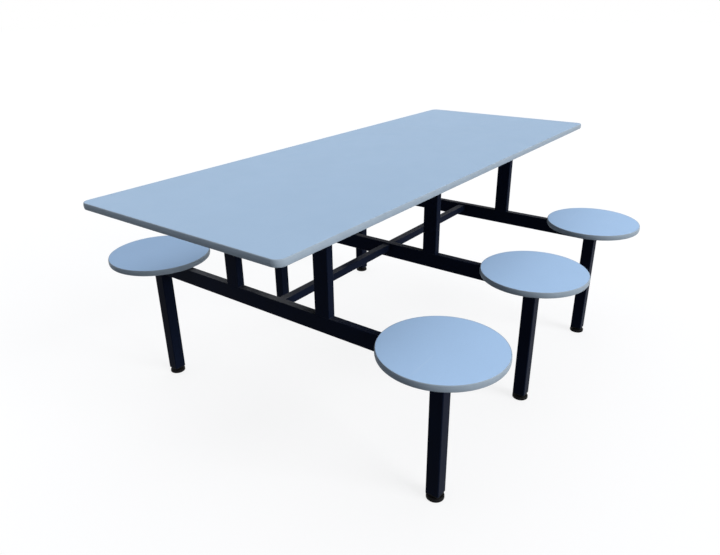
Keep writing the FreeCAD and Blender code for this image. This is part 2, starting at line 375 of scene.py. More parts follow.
def laminate(coordinates, blue, finish):
    """Satin laminate with a fine fleck, a slow change of shade, faint scuffs and a plain backing below."""
    position = coordinates["Object"]
    fleck = noise(position, finish.fleck_size, detail=2.0)
    cloud = noise(position, finish.cloud_size, detail=3.0)
    face = shades(layered(cloud, 0.45, fleck), blue, dark=0.94, light=1.06)
    scuff = rising(streaks(position, SCUFF_STREAKS, detail=4.0), start=0.66, full=0.74, most=0.05)
    face = blend(scuff, face, rgba(finish.laminate_scuff))
    below = remap(facing_up(coordinates), -0.6, -0.4, 1.0, 0.0)
    smear = noise(position, finish.cloud_size / 3, detail=4.0)
    fine = noise(position, finish.fleck_size / 2, detail=3.0)
    return {
        "Base Color": blend(below, face, rgba(finish.backing)),
        "Roughness": calculate("MULTIPLY_ADD", scuff, 1.5, spread(smear, 0.50, 0.62)),
        "Specular IOR Level": 0.02,
        "Normal": bump(fine, finish.fleck_depth),
    }


def band_plastic(coordinates, finish):
    """Grey extruded plastic with fine lines along the band and rubbed patches."""
    position = coordinates["Object"]
    lines = streaks(position, BAND_STREAKS, detail=2.0)
    cloud = noise(position, finish.cloud_size / 4, detail=4.0)
    face = shades(layered(lines, 0.5, cloud), finish.band_grey, dark=0.90, light=1.10)
    rubbed = rising(noise(position, size=0.012, detail=6.0), start=0.60, full=0.72, most=0.10)
    return {
        "Base Color": blend(rubbed, face, rgba(finish.band_rub)),
        "Roughness": spread(cloud, 0.40, 0.54),
        "Specular IOR Level": 0.05,
        "Normal": bump(lines, finish.line_depth),
    }


def dust_and_painted_sheen(coordinates, finish):
    """The share of dust and painted sheen in patches on paint that faces up, most at the front and least on
    the right, where the fall-off is painted shade.
    """
    position = coordinates["Object"]
    # Up-facing paint is lightened as dust and as a painted sheen from above
    dust_and_sheen_up = rising(facing_up(coordinates), start=0.5, full=0.95, most=0.55)
    patchy = remap(noise(position, finish.cloud_size * 1.1, detail=3.0), 0.42, 0.60, 0.06, 1.0)
    along_x, along_y, _ = separate(position)
    # Painted shade: the lightening fades behind the front beam and towards the right
    sheen_behind = remap(along_x, *SHEEN_ENDS_X, 1.15, 0.45)
    sheen_leftwards = remap(along_y, *SHEEN_STARTS_Y, 0.15, 1.0)
    return product(dust_and_sheen_up, patchy, sheen_behind, sheen_leftwards)


def worn_edges(position, finish):
    """The share of thin paint, in patches along the edges."""
    tree = position.id_data
    softened = add_node(tree, "ShaderNodeBevel", {"Radius": finish.edge_wear}, samples=4)[0]
    plain = add_node(tree, "ShaderNodeNewGeometry")["Normal"]
    alike = vector_sum("DOT_PRODUCT", {0: softened, 1: plain})["Value"]
    patchy = rising(noise(position, size=0.02, detail=5.0), start=0.52, full=0.68, most=0.5)
    return product(remap(alike, 0.90, 0.99, 1.0, 0.0), patchy)


def powder_coat(coordinates, finish):
    """Black powder coat with a fine peel, a little dust and a painted sheen where it faces up, and edges
    worn thin.
    """
    position = coordinates["Object"]
    peel = noise(position, finish.peel_size, detail=2.0)
    cloud = noise(position, finish.cloud_size / 2, detail=4.0)
    face = shades(cloud, finish.paint_black, dark=0.8, light=1.3)
    # Dust mixed with a painted sheen that lightens up-facing paint
    dust_and_sheen_share = dust_and_painted_sheen(coordinates, finish)
    face = blend(dust_and_sheen_share, face, rgba(finish.dust_and_sheen))
    return {
        "Base Color": blend(worn_edges(position, finish), face, rgba(finish.paint_wear)),
        "Roughness": calculate("MULTIPLY_ADD", dust_and_sheen_share, 0.35, spread(cloud, 0.34, 0.46)),
        "Specular IOR Level": 0.012,
        "Normal": bump(peel, finish.peel_depth),
    }


def zinc_plate(coordinates, finish):
    """Bright zinc plate with a cloudy tint and fine drawing lines."""
    position = coordinates["Object"]
    cloud = noise(position, size=0.012, detail=4.0)
    lines = streaks(position, ZINC_STREAKS, detail=2.0)
    cool, warm = [rgba(Vector(finish.zinc) * Vector(tint)) for tint in (ZINC_COOL, ZINC_WARM)]
    return {
        "Base Color": blend(cloud, cool, warm),
        "Metallic": 1.0,
        "Roughness": spread(cloud, 0.26, 0.42),
        "Normal": bump(lines, finish.drawing_depth),
    }


def moulded_plastic(coordinates, roughness, finish):
    """Black moulded plastic with a spark-eroded grain and pale scuffs."""
    position = coordinates["Object"]
    grain = noise(position, finish.grain_size, detail=2.0)
    cloud = noise(position, size=0.015, detail=4.0)
    face = shades(cloud, finish.plastic_black, dark=0.7, light=1.5)
    scuff = rising(noise(position, size=0.006, detail=6.0), start=0.60, full=0.75, most=0.25)
    return {
        "Base Color": blend(scuff, face, rgba(finish.plastic_scuff)),
        "Roughness": spread(cloud, roughness - 0.06, roughness + 0.08),
        "Specular IOR Level": 0.06,
        "Normal": bump(grain, finish.grain_depth),
    }


def dress(nodes, material):
    """Gives CAD nodes their finish."""
    for node in nodes:
        NODES[node].material_slots[0].material = material


# Meshes


def new_object(name, data):
    """An object at the origin of the scene."""
    made = bpy.data.objects.new(name, data)
    bpy.context.scene.collection.objects.link(made)
    return made


def finished(name, mesh, body, slot, *replaced):
    """Makes a finished piece that rides on a body and may stand for CAD nodes."""
    piece = new_object(name, mesh)
    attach(piece, body)
    if replaced:
        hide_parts(*replaced)


def evaluated(made):
    """The plain mesh that an object's modifier makes, and the object is removed."""
    graph = bpy.context.evaluated_depsgraph_get()
    mesh = bpy.data.meshes.new_from_object(made.evaluated_get(graph), depsgraph=graph)
    if not mesh.polygons:
        raise RuntimeError(f"{made.name} came out without a face")
    bpy.data.objects.remove(made)
    return mesh


def smooth_mesh(mesh, sharp_degrees=38.0):
    """Smooth shading that breaks at sharp edges."""
    mesh.shade_smooth()
    mesh.set_sharp_from_angle(angle=math.radians(sharp_degrees))
    return mesh


def mesh_from(shape, name):
    """A bmesh as a plain mesh with its faces turned outwards."""
    bmesh.ops.recalc_face_normals(shape, faces=shape.faces)
    mesh = bpy.data.meshes.new(name)
    shape.to_mesh(mesh)
    shape.free()
    return smooth_mesh(mesh)


def arc(centre, radius, start, end, steps):
    """Points on an arc, with its angles in degrees."""
    turns = [math.radians(start + (end - start) * step / steps) for step in range(steps + 1)]
    return [(centre[0] + radius * math.cos(turn), centre[1] + radius * math.sin(turn)) for turn in turns]


def around(points, count):
    """Points repeated at equal turns about the origin."""
    turns = [FULL_TURN * index / count for index in range(count)]
    waves = [(math.cos(turn), math.sin(turn)) for turn in turns]
    return [(x * c - y * s, x * s + y * c) for c, s in waves for x, y in points]


def at_height(points, z):
    """Flat points brought to a height."""
    return [(x, y, z) for x, y in points]


def skin_rings(shape, rings):
    """Joins rings of points to a skin and closes its two ends."""
    loops = [[shape.verts.new(point) for point in ring] for ring in rings]
    for lower, upper in zip(loops, loops[1:]):
        for index in range(len(lower)):
            following = (index + 1) % len(lower)
            shape.faces.new((lower[index], lower[following], upper[following], upper[index]))
    shape.faces.new(list(reversed(loops[0])))
    shape.faces.new(loops[-1])


def turned(shape, profile, facets):
    """A shape turned about Z from points of radius and height, with flat ends."""
    skin_rings(shape, [at_height(around([(radius, 0.0)], facets), z) for radius, z in profile])


def thread(shape, core, crest, pitch, low, high, facets, steps):
    """A right-hand thread along Z between two heights, with steep flanks between its crests and roots."""
    steepness, root = 2.4, 0.7
    count = max(2, round((high - low) / pitch * steps))
    rings = []
    for ring in range(count + 1):
        z = low + (high - low) * ring / count
        runout = min(1.0, (z - low) / pitch, (high - z) / pitch)
        points = []
        for index in range(facets):
            turn = index / facets
            phase = ((z - low) / pitch - turn) % 1.0
            ridge = min(1.0, max(0.0, steepness * (1 - abs(2 * phase - 1)) - root))
            radius = core + (crest - core) * ridge * runout
            points.append((radius * math.cos(FULL_TURN * turn), radius * math.sin(FULL_TURN * turn), z))
        rings.append(points)
    skin_rings(shape, rings)


def combined(target, tool, operation):
    """The mesh of one object cut by or kept within another, and both objects are removed."""
    modifier = target.modifiers.new("cut", "BOOLEAN")
    modifier.object = tool
    modifier.operation = operation
    modifier.solver = "EXACT"
    mesh = evaluated(target)
    bpy.data.objects.remove(tool)
    return smooth_mesh(mesh)


def prism(outline, low, high):
    """An upright prism over a closed outline of points."""
    shape = bmesh.new()
    skin_rings(shape, [at_height(outline, z) for z in (low, high)])
    return mesh_from(shape, "prism")


def hexagon(flats):
    """The corners of a hexagon of the given width across its flats."""
    return around([(flats / 2 / math.cos(math.pi / 6), 0.0)], 6)


def cross(width, span):
    """The corners of an upright cross."""
    near = width / 2
    far = span / 2
    return around([(far, -near), (far, near), (near, near)], 4)


def measured(node):
    """A CAD node's low and high corners, its middle and half its size."""
    low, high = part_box(node)
    return low, high, (low + high) / 2, (high - low) / 2


def solids(node):
    """The low and high corners of each separate solid in a CAD node."""
    shape = bmesh.new()
    shape.from_mesh(NODES[node].data)
    bmesh.ops.remove_doubles(shape, verts=shape.verts, dist=1e-6)
    waiting = set(shape.verts)
    boxes = []
    while waiting:
        island = [waiting.pop()]
        for vert in island:
            for edge in vert.link_edges:
                other = edge.other_vert(vert)
                if other in waiting:
                    waiting.remove(other)
                    island.append(other)
        low = Vector(min(v.co[k] for v in island) for k in range(3))
        high = Vector(max(v.co[k] for v in island) for k in range(3))
        boxes.append((low, high))
    shape.free()
    return sorted(boxes, key=lambda box: tuple(round(value, 4) for value in box[0]))


# Geometry node trees


def new_tree(name, inputs):
    """A geometry node tree with named inputs, and the outputs that give them."""
    tree = bpy.data.node_groups.new(name, "GeometryNodeTree")
    for label, kind in {"Geometry": "Geometry", **inputs, "Material": "Material"}.items():
        tree.interface.new_socket(label, in_out="INPUT", socket_type=f"NodeSocket{kind}")
    tree.interface.new_socket("Geometry", in_out="OUTPUT", socket_type="NodeSocketGeometry")
    return tree, add_node(tree, "NodeGroupInput")


def end_tree(tree, given, geometry):
    """Ends a tree by making instances real and setting their material."""
    real = add_node(tree, "GeometryNodeRealizeInstances", {"Geometry": geometry})[0]
    inputs = {"Geometry": real, "Material": given["Material"]}
    add_node(tree, "NodeGroupOutput", {0: add_node(tree, "GeometryNodeSetMaterial", inputs)[0]})
    return tree


def grown(tree, base, values):
    """The plain mesh that a tree makes from a base object, which is then removed."""
    modifier = base.modifiers.new(tree.name, "NODES")
    modifier.node_group = tree
    for item in tree.interface.items_tree:
        if item.in_out == "INPUT" and item.name in values:
            modifier[item.identifier] = values[item.name]
    mesh = evaluated(base)
    shape = bmesh.new()
    shape.from_mesh(mesh)
    bmesh.ops.recalc_face_normals(shape, faces=shape.faces)
    shape.to_mesh(mesh)
    shape.free()
    mesh.materials.clear()
    mesh.materials.append(values["Material"])
    return smooth_mesh(mesh)


def path_object(name, paths):
    """Open and closed paths of points as edges, ready to become curves."""
    points = []
    edges = []
    for path, closed in paths:
        first = len(points)
        points += path
        edges += [(first + k, first + k + 1) for k in range(len(path) - 1)]
        if closed:
            edges.append((len(points) - 1, first))
    mesh = bpy.data.meshes.new(name)
    mesh.from_pydata(points, edges, [])
    return new_object(name, mesh)


def points_object(name, points, axes):
    """Points that each carry the axis of what stands on them."""
    mesh = bpy.data.meshes.new(name)
    mesh.from_pydata(points, [], [])
    attribute = mesh.attributes.new("axis", "FLOAT_VECTOR", "POINT")
    attribute.data.foreach_set("vector", [value for axis in axes for value in axis])
    return new_object(name, mesh)


def sweep_tree():
    """A tree that sweeps a flat profile along level paths."""
    tree, given = new_tree("band sweep", {"Profile": "Object"})
    curve = add_node(tree, "GeometryNodeMeshToCurve", {"Mesh": given["Geometry"]})[0]
    level = add_node(tree, "GeometryNodeSetCurveNormal", {"Curve": curve}, mode="Z_UP")[0]
    outline = add_node(tree, "GeometryNodeObjectInfo", {"Object": given["Profile"]})["Geometry"]
    profile = add_node(tree, "GeometryNodeMeshToCurve", {"Mesh": outline})[0]
    inputs = {"Curve": level, "Profile Curve": profile, "Fill Caps": True}
    return end_tree(tree, given, add_node(tree, "GeometryNodeCurveToMesh", inputs)[0])


def bead_tree():
    """A tree that lays a rippled weld bead along paths and tapers it at open ends."""
    sizes = dict.fromkeys(("Radius", "Pitch", "Depth", "Taper", "End"), "Float")
    tree, given = new_tree("weld bead", sizes)
    curve = add_node(tree, "GeometryNodeMeshToCurve", {"Mesh": given["Geometry"]})[0]
    step = calculate("DIVIDE", given["Pitch"], RIPPLE_STEPS)
    fine = add_node(tree, "GeometryNodeResampleCurve", {"Curve": curve, "Length": step}, mode="LENGTH")[0]
    along = add_node(tree, "GeometryNodeSplineParameter")["Length"]
    total = add_node(tree, "GeometryNodeSplineLength")["Length"]
    wave = calculate("SINE", product(calculate("DIVIDE", along, given["Pitch"]), math.pi))
    hollow = calculate("SUBTRACT", 1.0, calculate("ABSOLUTE", wave))
    swell = calculate("SUBTRACT", 1.0, product(hollow, given["Depth"]))
    left = calculate("MINIMUM", along, calculate("SUBTRACT", total, along))
    rise = calculate("MINIMUM", calculate("DIVIDE", left, given["Taper"]), 1.0)
    taper = calculate("MAXIMUM", calculate("SQRT", rise), given["End"])
    closed = add_node(tree, "GeometryNodeInputSplineCyclic")[0]
    scale = product(swell, calculate("MAXIMUM", taper, closed), given["Radius"])
    circle = {"Resolution": BEAD_FACETS, "Radius": 1.0}
    section = add_node(tree, "GeometryNodeCurvePrimitiveCircle", circle)[0]
    inputs = {"Curve": fine, "Profile Curve": section, "Scale": scale, "Fill Caps": True}
    return end_tree(tree, given, add_node(tree, "GeometryNodeCurveToMesh", inputs)[0])


def screw_tree():
    """A tree that sets a screw on each point, along the point's axis and turned by chance."""
    tree, given = new_tree("screw set", {"Screw": "Object", "Seed": "Int"})
    screw = add_node(tree, "GeometryNodeObjectInfo", {"Object": given["Screw"]})["Geometry"]
    axis = add_node(tree, "GeometryNodeInputNamedAttribute", {"Name": "axis"}, data_type="FLOAT_VECTOR")[0]
    aimed = add_node(tree, "FunctionNodeAlignRotationToVector", {"Vector": axis}, axis="Z")[0]
    chance = add_node(tree, "FunctionNodeRandomValue", {"Seed": given["Seed"]}, data_type="FLOAT")[1]
    spin = add_node(tree, "ShaderNodeCombineXYZ", {2: product(chance, FULL_TURN)})[0]
    turn = add_node(tree, "FunctionNodeEulerToRotation", {0: spin})[0]
    inputs = {"Rotation": aimed, "Rotate By": turn}
    rotation = add_node(tree, "FunctionNodeRotateRotation", inputs, rotation_space="LOCAL")[0]
    inputs = {"Points": given["Geometry"], "Instance": screw, "Rotation": rotation}
    return end_tree(tree, given, add_node(tree, "GeometryNodeInstanceOnPoints", inputs)[0])


def flute_tree():
    """A tree that presses grip flutes into the upright wall of a turned pad."""
    sizes = dict.fromkeys(("Depth", "Wall", "Low", "High"), "Float")
    tree, given = new_tree("grip flutes", {"Count": "Int", **sizes})
    position = add_node(tree, "GeometryNodeInputPosition")[0]
    flat = vector_sum("MULTIPLY", {0: position, 1: (1.0, 1.0, 0.0)})[0]
    x, y, z = separate(position)
    turn = product(calculate("ARCTAN2", y, x), given["Count"])
    wave = remap(calculate("COSINE", turn), -0.6, 0.6, 0.0, 1.0)
    outside = calculate("GREATER_THAN", vector_sum("LENGTH", {0: flat})["Value"], given["Wall"])
    above = calculate("GREATER_THAN", z, given["Low"])
    below = calculate("LESS_THAN", z, given["High"])
    inwards = product(wave, above, below, outside, given["Depth"], -1.0)
    outwards = vector_sum("NORMALIZE", {0: flat})[0]
    push = vector_sum("SCALE", {0: outwards, "Scale": inwards})[0]
    inputs = {"Geometry": given["Geometry"], "Offset": push}
    return end_tree(tree, given, add_node(tree, "GeometryNodeSetPosition", inputs)[0])


# Boards and edge bands


def band_profile(band, height):
    """The band's closed section: X outwards from the board's edge, Y up, with a barbed spine behind."""
    half = height / 2
    face = band.thickness - band.crown
    straight = half - band.shoulder_height
    top = [(face + band.shoulder_depth * (x - 1), straight + band.shoulder_height * y)
           for x, y in arc((0.0, 0.0), 1.0, 90, 0, SHOULDER_STEPS)]
    bow = []
    for step in range(1, BOW_STEPS):
        rise = 1 - 2 * step / BOW_STEPS
        bow.append((face + band.crown * (1 - rise ** 2), rise * straight))
    outside = [(0.0, half)] + top + bow + [(x, -y) for x, y in reversed(top)] + [(0.0, -half)]
    web = band.spine_thickness / 2
    spine = [(0.0, web)]
    for share in BARB_STARTS:
        start, end = -band.spine_depth * share, -band.spine_depth * (share + BARB_LENGTH)
        spine += [(start, web), (start, web + band.barb), (end, web)]
    spine.append((-band.spine_depth, web))
    return outside + [(x, -y) for x, y in spine] + list(reversed(spine))


def table_path(node, band):
    """The level outline of the tabletop's board, from the middle of its left side round to there again."""
    _, _, middle, half = measured(node)
    half_x = half.x - band.thickness
    half_y = half.y - band.thickness
    radius = band.table_corner - band.thickness
    path = [(-band.seam / 2, half_y)]
    for corner, (x, y) in enumerate(((-1, 1), (-1, -1), (1, -1), (1, 1))):
        centre = (x * (half_x - radius), y * (half_y - radius))
        start = 90 + 90 * corner
        path += arc(centre, radius, start, start + 90, band.corner_steps)
    return at_height(path + [(band.seam / 2, half_y)], middle.z)


def seat_path(node, band):
    """The level outline of a seat's board, from the side that faces the table round to there again."""
    _, _, middle, half = measured(node)
    radius = half.x - band.thickness
    gap = math.degrees(band.seam / radius)
    facing = math.degrees(math.atan2(-middle.y, 0.0))
    start, end = facing + gap / 2, facing + 360 - gap / 2
    return at_height(arc(middle.xy, radius, start, end, band.seat_steps), middle.z)


class CANTEEN_OT_edge_bands(bpy.types.Operator):
    """Sweep the moulded bands round the tabletop and the seats"""

    bl_idname = "canteen.edge_bands"
    bl_label = "Edge bands"

    def execute(self, context):
        band = context.scene.canteen_band
        material = new_material("edge_band_plastic", band_plastic, context.scene.canteen_finish)
        tree = sweep_tree()
        jobs = [("tabletop_band", "tabletop_edge_band", "frame", table_path)]
        for seat in SEATS:
            jobs.append((f"seat_band_{seat}", f"seat_edge_band_{seat}", f"seat_{seat}", seat_path))
        low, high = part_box("tabletop_edge_band")
        section = at_height(band_profile(band, high.z - low.z), 0.0)
        profile = path_object("band_profile", [(section, True)])
        for name, node, body, path in jobs:
            base = path_object(name + "_path", [(path(node, band), False)])
            mesh = grown(tree, base, {"Profile": profile, "Material": material})
            finished(name, mesh, body, "edge_band", node)
        bpy.data.objects.remove(profile)
        return {"FINISHED"}


class CANTEEN_OT_boards(bpy.types.Operator):
    """Face the tabletop and the seats with laminate"""

    bl_idname = "canteen.boards"
    bl_label = "Boards"

    def execute(self, context):
        finish = context.scene.canteen_finish
        table = new_material("tabletop_laminate", laminate, finish.table_blue, finish)
        dress(["tabletop_panel"], table)
        seats = new_material("seat_laminate", laminate, finish.seat_blue, finish)
        dress([f"seat_panel_{seat}" for seat in SEATS], seats)
        return {"FINISHED"}


# Frame and welds


def rounded_loop(centre, half_u, half_v, along_u, along_v, radius):
    """A closed loop with rounded corners in the plane of two directions."""
    points = []
    for turn, (u, v) in enumerate(((1, 1), (-1, 1), (-1, -1), (1, -1))):
        middle = (u * (half_u - radius), v * (half_v - radius))
        for a, b in arc(middle, radius, 90 * turn, 90 * turn + 90, TUBE_STEPS):
            points.append(centre + a * along_u + b * along_v)
    return points


def weld_paths(weld):
    """The paths of the fillet beads: posts on beams and bearers, beams on legs and rails on beams."""
    across, along, up = Vector((1, 0, 0)), Vector((0, 1, 0)), Vector((0, 0, 1))
    corner = weld.tube_corner
    paths = []
    for row in ROWS:
        low, high, middle, half = measured(f"cross_beam_{row}")
        top = high.z - weld.top_margin
        for end in (low.y, high.y):
            loop = rounded_loop(Vector((middle.x, end, middle.z)), half.x, half.z, across, up, corner)
            below = [point for point in loop if point.z < middle.z]
            start, finish = [Vector((point.x, end, top)) for point in (below[0], below[-1])]
            paths.append(([start, *below, finish], False))
        for side in SIDES:
            post_low, post_high, post_middle, post_half = measured(f"post_{row}_{side}")
            head = Vector((middle.x, post_middle.y, post_high.z))
            paths.append((rounded_loop(head, half.x, post_half.y, across, along, corner), True))
            ends = (low.x + corner, high.x - corner)
            for y in (post_low.y, post_high.y):
                paths.append(([Vector((x, y, post_low.z)) for x in ends], False))
    for rail in RAILS:
        low, high, middle, half = measured(rail)
        for end in (low.x, high.x):
            centre = Vector((end, middle.y, middle.z))
            paths.append((rounded_loop(centre, half.y, half.z, along, up, corner), True))
    return paths


def seam_paths(weld):
    """The paths of the flush seams where a post's sides are level with the beam's."""
    sunk = weld.bead_radius - weld.seam_proud
    paths = []
    for seat in SEATS:
        low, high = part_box(f"post_{seat}")
        ends = (low.y + weld.tube_corner, high.y - weld.tube_corner)
        for x in (low.x + sunk, high.x - sunk):
            paths.append(([Vector((x, y, low.z)) for y in ends], False))
    return paths


class CANTEEN_OT_tube_frame(bpy.types.Operator):
    """Paint the tubes and lay the weld beads between them"""

    bl_idname = "canteen.tube_frame"
    bl_label = "Tube frame and welds"

    def execute(self, context):
        weld = context.scene.canteen_weld
        paint = new_material("frame_powder_coat", powder_coat, context.scene.canteen_finish)
        tubes = ["top_bearers", *RAILS]
        tubes += [f"cross_beam_{row}" for row in ROWS]
        tubes += [f"{kind}_{seat}" for kind in ("post", "seat_leg") for seat in SEATS]
        dress(tubes, paint)
        tree = bead_tree()
        values = {"Radius": weld.bead_radius, "Pitch": weld.ripple_pitch, "Depth": weld.ripple_depth,
                  "Taper": weld.end_taper, "End": weld.end_share, "Material": paint}
        for name, paths in (("weld_beads", weld_paths(weld)), ("weld_seams", seam_paths(weld))):
            mesh = grown(tree, path_object(name + "_path", paths), values)
            finished(name, mesh, "frame", "frame_paint")
        return {"FINISHED"}


# Screws


def cut_head(profile, outline, depth):
    """A turned screw head along Z with a recess of the given outline cut up into its lower face."""
    face = profile[0][1]
    head = bmesh.new()
    turned(head, profile, HEAD_FACETS)
    target = new_object("head", mesh_from(head, "head"))
    tool = new_object("recess", prism(outline, face - depth, face + depth))
    return combined(target, tool, "DIFFERENCE")


def domed(radius, crown, height):
    """The profile of a rounded head, from its lower face up to the XY plane."""
    return arc((radius - crown, crown - height), crown, -90, 0, DOME_STEPS) + [(radius, 0.0)]


def wood_screw(profile, start, tip, screws):
    """A wood screw: its head with a cross recess, a thread from a height towards the tip, and a point."""
    core, pitch = screws.wood_core, screws.wood_pitch
    taper = tip - screws.wood_point
    shape = bmesh.new()
    shape.from_mesh(cut_head(profile, cross(screws.cross_width, screws.cross_span), screws.cross_depth))
    thread(shape, core, screws.wood_crest, pitch, start, taper, SCREW_FACETS, SCREW_STEPS)
    turned(shape, [(core, taper - pitch / 2), (core, taper), (core / 8, tip)], SCREW_FACETS)
    return mesh_from(shape, "screw")


def pan_screw(low, high, screws):
    """A pan-head wood screw, its head under the XY plane."""
    core, pitch, height = screws.wood_core, screws.wood_pitch, screws.pan_height
    profile = domed((high.x - low.x) / 2, screws.pan_round, height) + [(core, 0.0), (core, pitch)]
    return wood_screw(profile, pitch / 2, high.z - low.z - height, screws)


def sunk_screw(low, high, screws):
    """A countersunk wood screw, its flat head in the XY plane."""
    core, pitch, height = screws.wood_core, screws.wood_pitch, screws.sunk_height
    radius = (high.x - low.x) / 2
    rim = radius * 0.03
    profile = [(radius - rim, 0.0), (radius, rim), (core, height), (core, height + pitch)]
    return wood_screw(profile, height + pitch / 2, high.z - low.z, screws)


def retaining_screw(low, high, screws):
    """A button-head screw with a hexagon socket, its head under the XY plane and its shank along Z."""
    core, height = screws.retainer_radius, screws.button_height
    tip = high.y - low.y - height
    chamfer = core / 4
    shank = [(core, 0.0), (core, tip - chamfer), (core - chamfer, tip)]
    profile = domed((high.x - low.x) / 2, screws.button_round, height) + shank
    return cut_head(profile, hexagon(screws.socket_width), screws.socket_depth)


def screw_places(model, boxes, screws):
    """Where each screw's head is seated, and the axis that its shank runs along."""
    points = []
    axes = []
    for low, high in boxes:
        middle = (low + high) / 2
        if model is retaining_screw:
            outwards = math.copysign(1.0, middle.y)
            wall = max(low.y * outwards, high.y * outwards) - screws.button_height
            points.append((middle.x, outwards * wall, middle.z))
            axes.append((0.0, -outwards, 0.0))
        else:
            rise = screws.pan_height if model is pan_screw else 0.0
            points.append((middle.x, middle.y, low.z + rise))
            axes.append((0.0, 0.0, 1.0))
    return points, axes


class CANTEEN_OT_screws(bpy.types.Operator):
    """Set the screws of the bearers, the seat plates and the swivels"""

    bl_idname = "canteen.screws"
    bl_label = "Screws"

    def execute(self, context):
        screws = context.scene.canteen_fastener
        zinc = bpy.data.materials["zinc_plate"]
        tree = screw_tree()
        jobs = [("bearer_screw_set", "bearer_screws", "frame", pan_screw)]
        for seat in SEATS:
            jobs.append((f"seat_screw_set_{seat}", f"seat_screws_{seat}", f"seat_{seat}", sunk_screw))
        jobs.append(("retaining_screw_set", "spindle_retainers", "frame", retaining_screw))
        for name, node, body, model in jobs:
            boxes = solids(node)
            screw = new_object(name + "_model", model(*boxes[0], screws))
            base = points_object(name + "_points", *screw_places(model, boxes, screws))
            mesh = grown(tree, base, {"Screw": screw, "Seed": screws.turn_seed, "Material": zinc})
            bpy.data.objects.remove(screw)
            finished(name, mesh, body, "zinc_steel", node)
        return {"FINISHED"}


# Swivels and feet


class CANTEEN_OT_swivels(bpy.types.Operator):
    """Plate the spindles and finish the bushes that they turn in"""

    bl_idname = "canteen.swivels"
    bl_label = "Swivels"

    def execute(self, context):
        finish = context.scene.canteen_finish
        zinc = new_material("zinc_plate", zinc_plate, finish)
        dress([f"seat_spindle_{seat}" for seat in SEATS], zinc)
        nylon = new_material("bush_nylon_black", moulded_plastic, BUSH_ROUGHNESS, finish)
        dress(["swivel_bushes"], nylon)
        return {"FINISHED"}


def pad_mesh(radius, height, feet):
    """A turned pad about the Z axis with a round shoulder and a raised ring, bored for the stud."""
    chamfer, crown, step = feet.base_chamfer, feet.shoulder_round, feet.step_radius
    top = height - feet.step_height
    wall_low = chamfer * 2
    wall_high = top - crown
    foot = [(radius - chamfer, 0.0), (radius, chamfer)]
    wall = [(radius, wall_low + (wall_high - wall_low) * k / WALL_STEPS) for k in range(WALL_STEPS)]
    shoulder = arc((radius - crown, wall_high), crown, 0, 90, PAD_STEPS)
    edge = feet.step_height / 3
    ring = [(step, top), (step, height - edge), (step - edge, height)]
    bore = [(feet.neck_radius, height), (feet.neck_radius, height / 2)]
    shape = bmesh.new()
    turned(shape, foot + wall + shoulder + ring + bore, feet.flute_count * FLUTE_FACETS)
    return mesh_from(shape, "pad")


def stud_mesh(top, button_bottom, feet):
    """A levelling stud about the Z axis: a button, a chamfered hexagon and a thread."""
    low, high = feet.hex_bottom, feet.hex_bottom + feet.hex_height
    chamfer, crest = feet.hex_chamfer, feet.stud_crest
    outline = hexagon(feet.hex_flats)
    corner = outline[0][0]
    inner = corner - chamfer * 2
    bevel = bmesh.new()
    turned(bevel, [(inner, low), (corner, low + chamfer), (corner, high - chamfer), (inner, high)],
           BEVEL_FACETS)
    nut = combined(new_object("hexagon", prism(outline, low, high)),
                   new_object("bevel", mesh_from(bevel, "bevel")), "INTERSECT")
    shape = bmesh.new()
    shape.from_mesh(nut)
    button = feet.button_radius
    button_top = button_bottom + feet.button_height
    turned(shape, [(button - chamfer, button_bottom), (button, button_bottom + chamfer),
                   (button, button_top), (crest, button_top), (crest, low)], STUD_FACETS)
    thread(shape, feet.stud_core, crest, feet.stud_pitch, high, top, STUD_FACETS, STUD_STEPS)
    return mesh_from(shape, "stud")


class CANTEEN_OT_feet(bpy.types.Operator):
    """Make the levelling pads with their grip flutes, the threaded studs and the plugs above them"""

    bl_idname = "canteen.feet"
    bl_label = "Levelling feet"

    def execute(self, context):
        feet, finish = context.scene.canteen_foot, context.scene.canteen_finish
        zinc = bpy.data.materials["zinc_plate"]
        plastic = new_material("foot_plastic_black", moulded_plastic, FOOT_ROUGHNESS, finish)
        dress(["leg_plugs"], plastic)
        tree = flute_tree()
        for seat in SEATS:
            _, high, middle, half = measured(f"foot_pad_{seat}")
            shift = Matrix.Translation((middle.x, middle.y, 0.0))
            # The flutes start above the chamfer and run out on the shoulder
            values = {"Count": feet.flute_count, "Depth": feet.flute_depth, "Material": plastic,
                      "Wall": half.x - feet.base_chamfer / 2, "Low": feet.base_chamfer * 1.5,
                      "High": high.z - feet.step_height - feet.shoulder_round * 0.9}
            pad = grown(tree, new_object("pad_base", pad_mesh(half.x, high.z, feet)), values)
            pad.transform(shift)
            finished(f"levelling_pad_{seat}", pad, f"pad_{seat}", "foot_plastic", f"foot_pad_{seat}")
            low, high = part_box(f"foot_stud_{seat}")
            stud = stud_mesh(high.z, low.z, feet)
            stud.materials.append(zinc)
            stud.transform(shift)
            finished(f"levelling_stud_{seat}", stud, f"stud_{seat}", "zinc_steel", f"foot_stud_{seat}")
        return {"FINISHED"}


# Stage


def seen_white(tree):
    """1 for rays from the camera, from gloss and through glass, which see the background, and else 0."""
    path = add_node(tree, "ShaderNodeLightPath")
    straight = calculate("MAXIMUM", path["Is Camera Ray"], path["Is Glossy Ray"])
    return calculate("MAXIMUM", straight, path["Is Transmission Ray"])


def pale_floor(stage):
    """A floor that keeps the shadow and glows to white where it is seen."""
    material = bpy.data.materials.new("pale_floor")
    material.use_nodes = True
    tree = material.node_tree
    tree.nodes.clear()
    matt = add_node(tree, "ShaderNodeBsdfDiffuse", {"Color": rgba(stage.floor_colour)})[0]
    strength = product(seen_white(tree), stage.floor_glow)
    glow = add_node(tree, "ShaderNodeEmission", {"Strength": strength})[0]
    both = add_node(tree, "ShaderNodeAddShader", {0: matt, 1: glow})[0]
    add_node(tree, "ShaderNodeOutputMaterial", {"Surface": both})
    return material


